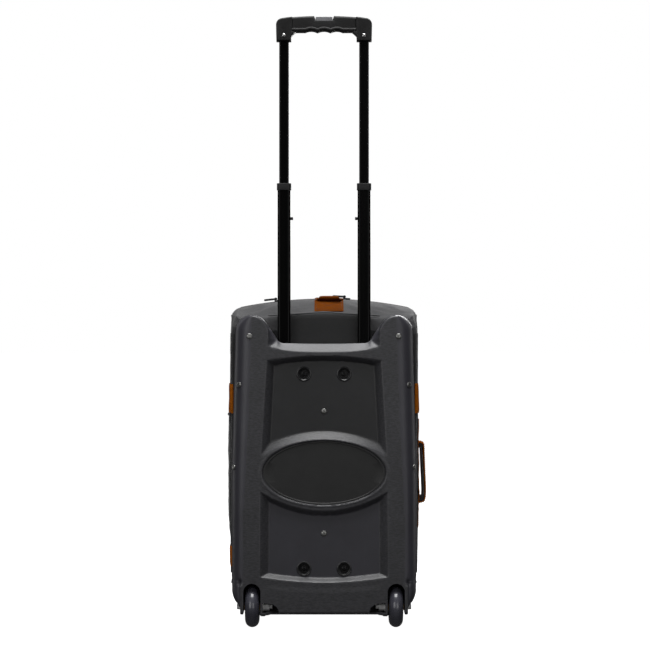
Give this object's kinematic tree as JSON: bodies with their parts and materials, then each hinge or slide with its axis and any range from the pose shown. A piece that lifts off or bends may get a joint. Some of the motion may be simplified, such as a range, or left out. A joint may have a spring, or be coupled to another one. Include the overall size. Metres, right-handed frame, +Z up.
{
  "type": "wheeled skate bag",
  "caption": "Upright wheeled bag with a moulded back shell, soft zipped body, opening front lid, skate wheels and a two-stage telescopic pull handle.",
  "frame": {"origin": "on the floor, at the centre of the footprint with the side handle included", "axes": "+Z up along the pull handle, +Y towards the zipped front lid, -Y towards the moulded back shell, +X towards the side with the carry handle"},
  "size_m": [0.3388, 0.2411, 1.0388],
  "materials": {
    "shell_plastic": "satin, pebbled",
    "badge_plastic": "satin, left plain",
    "black_plastic": "matte",
    "grip_plastic": "fine texture",
    "grip_rubber": "soft touch",
    "button_plastic": "satin",
    "steel": "bright plated",
    "black_steel": "black oxide",
    "bracket_steel": "zinc plated",
    "brass": "turned",
    "wheel_tyre": "glossy polyurethane",
    "wheel_core": "moulded",
    "tube_black": "black anodised, satin",
    "tube_plain": "mill finish",
    "fabric_dark": "woven nylon, coated",
    "fabric_grey": "woven nylon, coated",
    "zip_tape": "coil zip and tape",
    "zip_metal": "die cast",
    "pull_tab": "moulded",
    "orange_webbing": "heavy woven webbing",
    "foot_rubber": "matte"
  },
  "bodies": {
    "bag": {"rear_shell": "shell_plastic", "oval_badge": "badge_plastic", "wheel_housing_left": "black_plastic", "wheel_housing_right": "black_plastic", "shell_rivets": "steel", "bolt_cups": "black_plastic", "frame_bolts": "black_steel", "axle_left": "steel", "axle_right": "steel", "axle_nuts": "steel", "axle_spacers": "brass", "outer_tube_left": "tube_plain", "outer_tube_right": "tube_plain", "upper_bracket": "bracket_steel", "lower_bracket": "bracket_steel", "tube_bezel": "black_plastic", "outer_collars": "black_plastic", "back_panel": "fabric_dark", "top_panel": "fabric_grey", "bottom_panel": "fabric_dark", "side_panel_left": "fabric_dark", "side_panel_right": "fabric_dark", "base_plate": "black_plastic", "front_feet": "foot_rubber", "foot_screws": "steel", "top_handle": "orange_webbing", "side_handle": "orange_webbing", "side_straps": "orange_webbing", "side_pocket": "fabric_dark", "body_zip_tape": "zip_tape"},
    "wheel_left": {"tyre_left": "wheel_tyre", "hub_left": "wheel_core", "bearings_left": "steel"},
    "wheel_right": {"tyre_right": "wheel_tyre", "hub_right": "wheel_core", "bearings_right": "steel"},
    "middle_stage": {"middle_tube_left": "tube_black", "middle_tube_right": "tube_black", "middle_collars": "black_plastic", "middle_foot_bushes": "black_plastic", "lower_lock_clips": "steel"},
    "inner_stage": {"inner_tube_left": "tube_black", "inner_tube_right": "tube_black", "inner_foot_bushes": "black_plastic", "upper_lock_clips": "steel", "grip_blocks": "grip_plastic", "grip_bar": "grip_rubber", "grip_screws": "steel", "button_spring": "steel"},
    "button": {"grip_button": "button_plastic", "push_rods": "steel"},
    "lid": {"lid_panel": "fabric_grey", "lid_zip_tape": "zip_tape", "lid_pocket": "fabric_grey"},
    "main_slider_left": {"main_slider_left": "zip_metal"},
    "main_pull_left": {"main_pull_left": "pull_tab"},
    "main_slider_right": {"main_slider_right": "zip_metal"},
    "main_pull_right": {"main_pull_right": "pull_tab"},
    "pocket_slider": {"pocket_slider": "zip_metal"},
    "pocket_pull": {"pocket_pull": "pull_tab"}
  },
  "joints": [
    {"name": "wheel_left_spin", "type": "hinge", "parent": "bag", "child": "wheel_left", "pos_m": [-0.1294, -0.085, 0.035], "axis": [1, 0, 0], "continuous": true},
    {"name": "wheel_right_spin", "type": "hinge", "parent": "bag", "child": "wheel_right", "pos_m": [0.1146, -0.085, 0.035], "axis": [1, 0, 0], "continuous": true},
    {"name": "middle_slide", "type": "slide", "parent": "bag", "child": "middle_stage", "axis": [0, 0, 1], "range_m": [-0.262, 0], "deforming": ["lower_lock_clips"]},
    {"name": "inner_slide", "type": "slide", "parent": "middle_stage", "child": "inner_stage", "axis": [0, 0, 1], "range_m": [-0.241, 0], "deforming": ["upper_lock_clips"]},
    {"name": "button_press", "type": "slide", "parent": "inner_stage", "child": "button", "axis": [0, 0, 1], "range_m": [-0.004, 0], "stiffness_N_per_m": 900, "springref_m": 0.003, "deforming": ["button_spring"]},
    {"name": "lid_hinge", "type": "hinge", "parent": "bag", "child": "lid", "pos_m": [-0.1654, 0.08015, 0.3], "axis": [0, 0, 1], "range_deg": [0, 120]},
    {"name": "main_slider_left_run", "type": "hinge", "parent": "bag", "child": "main_slider_left", "pos_m": [-0.0074, 0.08, -0.188], "axis": [0, 1, 0], "range_deg": [-4.1, 4]},
    {"name": "main_slider_right_run", "type": "hinge", "parent": "bag", "child": "main_slider_right", "pos_m": [-0.0074, 0.08, -0.188], "axis": [0, 1, 0], "range_deg": [-2.6, 7.3]},
    {"name": "main_pull_left_swing", "type": "hinge", "parent": "main_slider_left", "child": "main_pull_left", "pos_m": [-0.09393, 0.08, 0.56053], "axis": [0, 1, 0], "range_deg": [0, 150]},
    {"name": "main_pull_right_swing", "type": "hinge", "parent": "main_slider_right", "child": "main_pull_right", "pos_m": [0.02896, 0.08, 0.56463], "axis": [0, 1, 0], "range_deg": [0, 150]},
    {"name": "pocket_slider_run", "type": "slide", "parent": "lid", "child": "pocket_slider", "axis": [0, 0, 1], "range_m": [-0.3, 0.02]},
    {"name": "pocket_pull_swing", "type": "hinge", "parent": "pocket_slider", "child": "pocket_pull", "pos_m": [0.0876, 0.1193, 0.416], "axis": [1, 0, 0], "range_deg": [0, 150]}
  ]
}
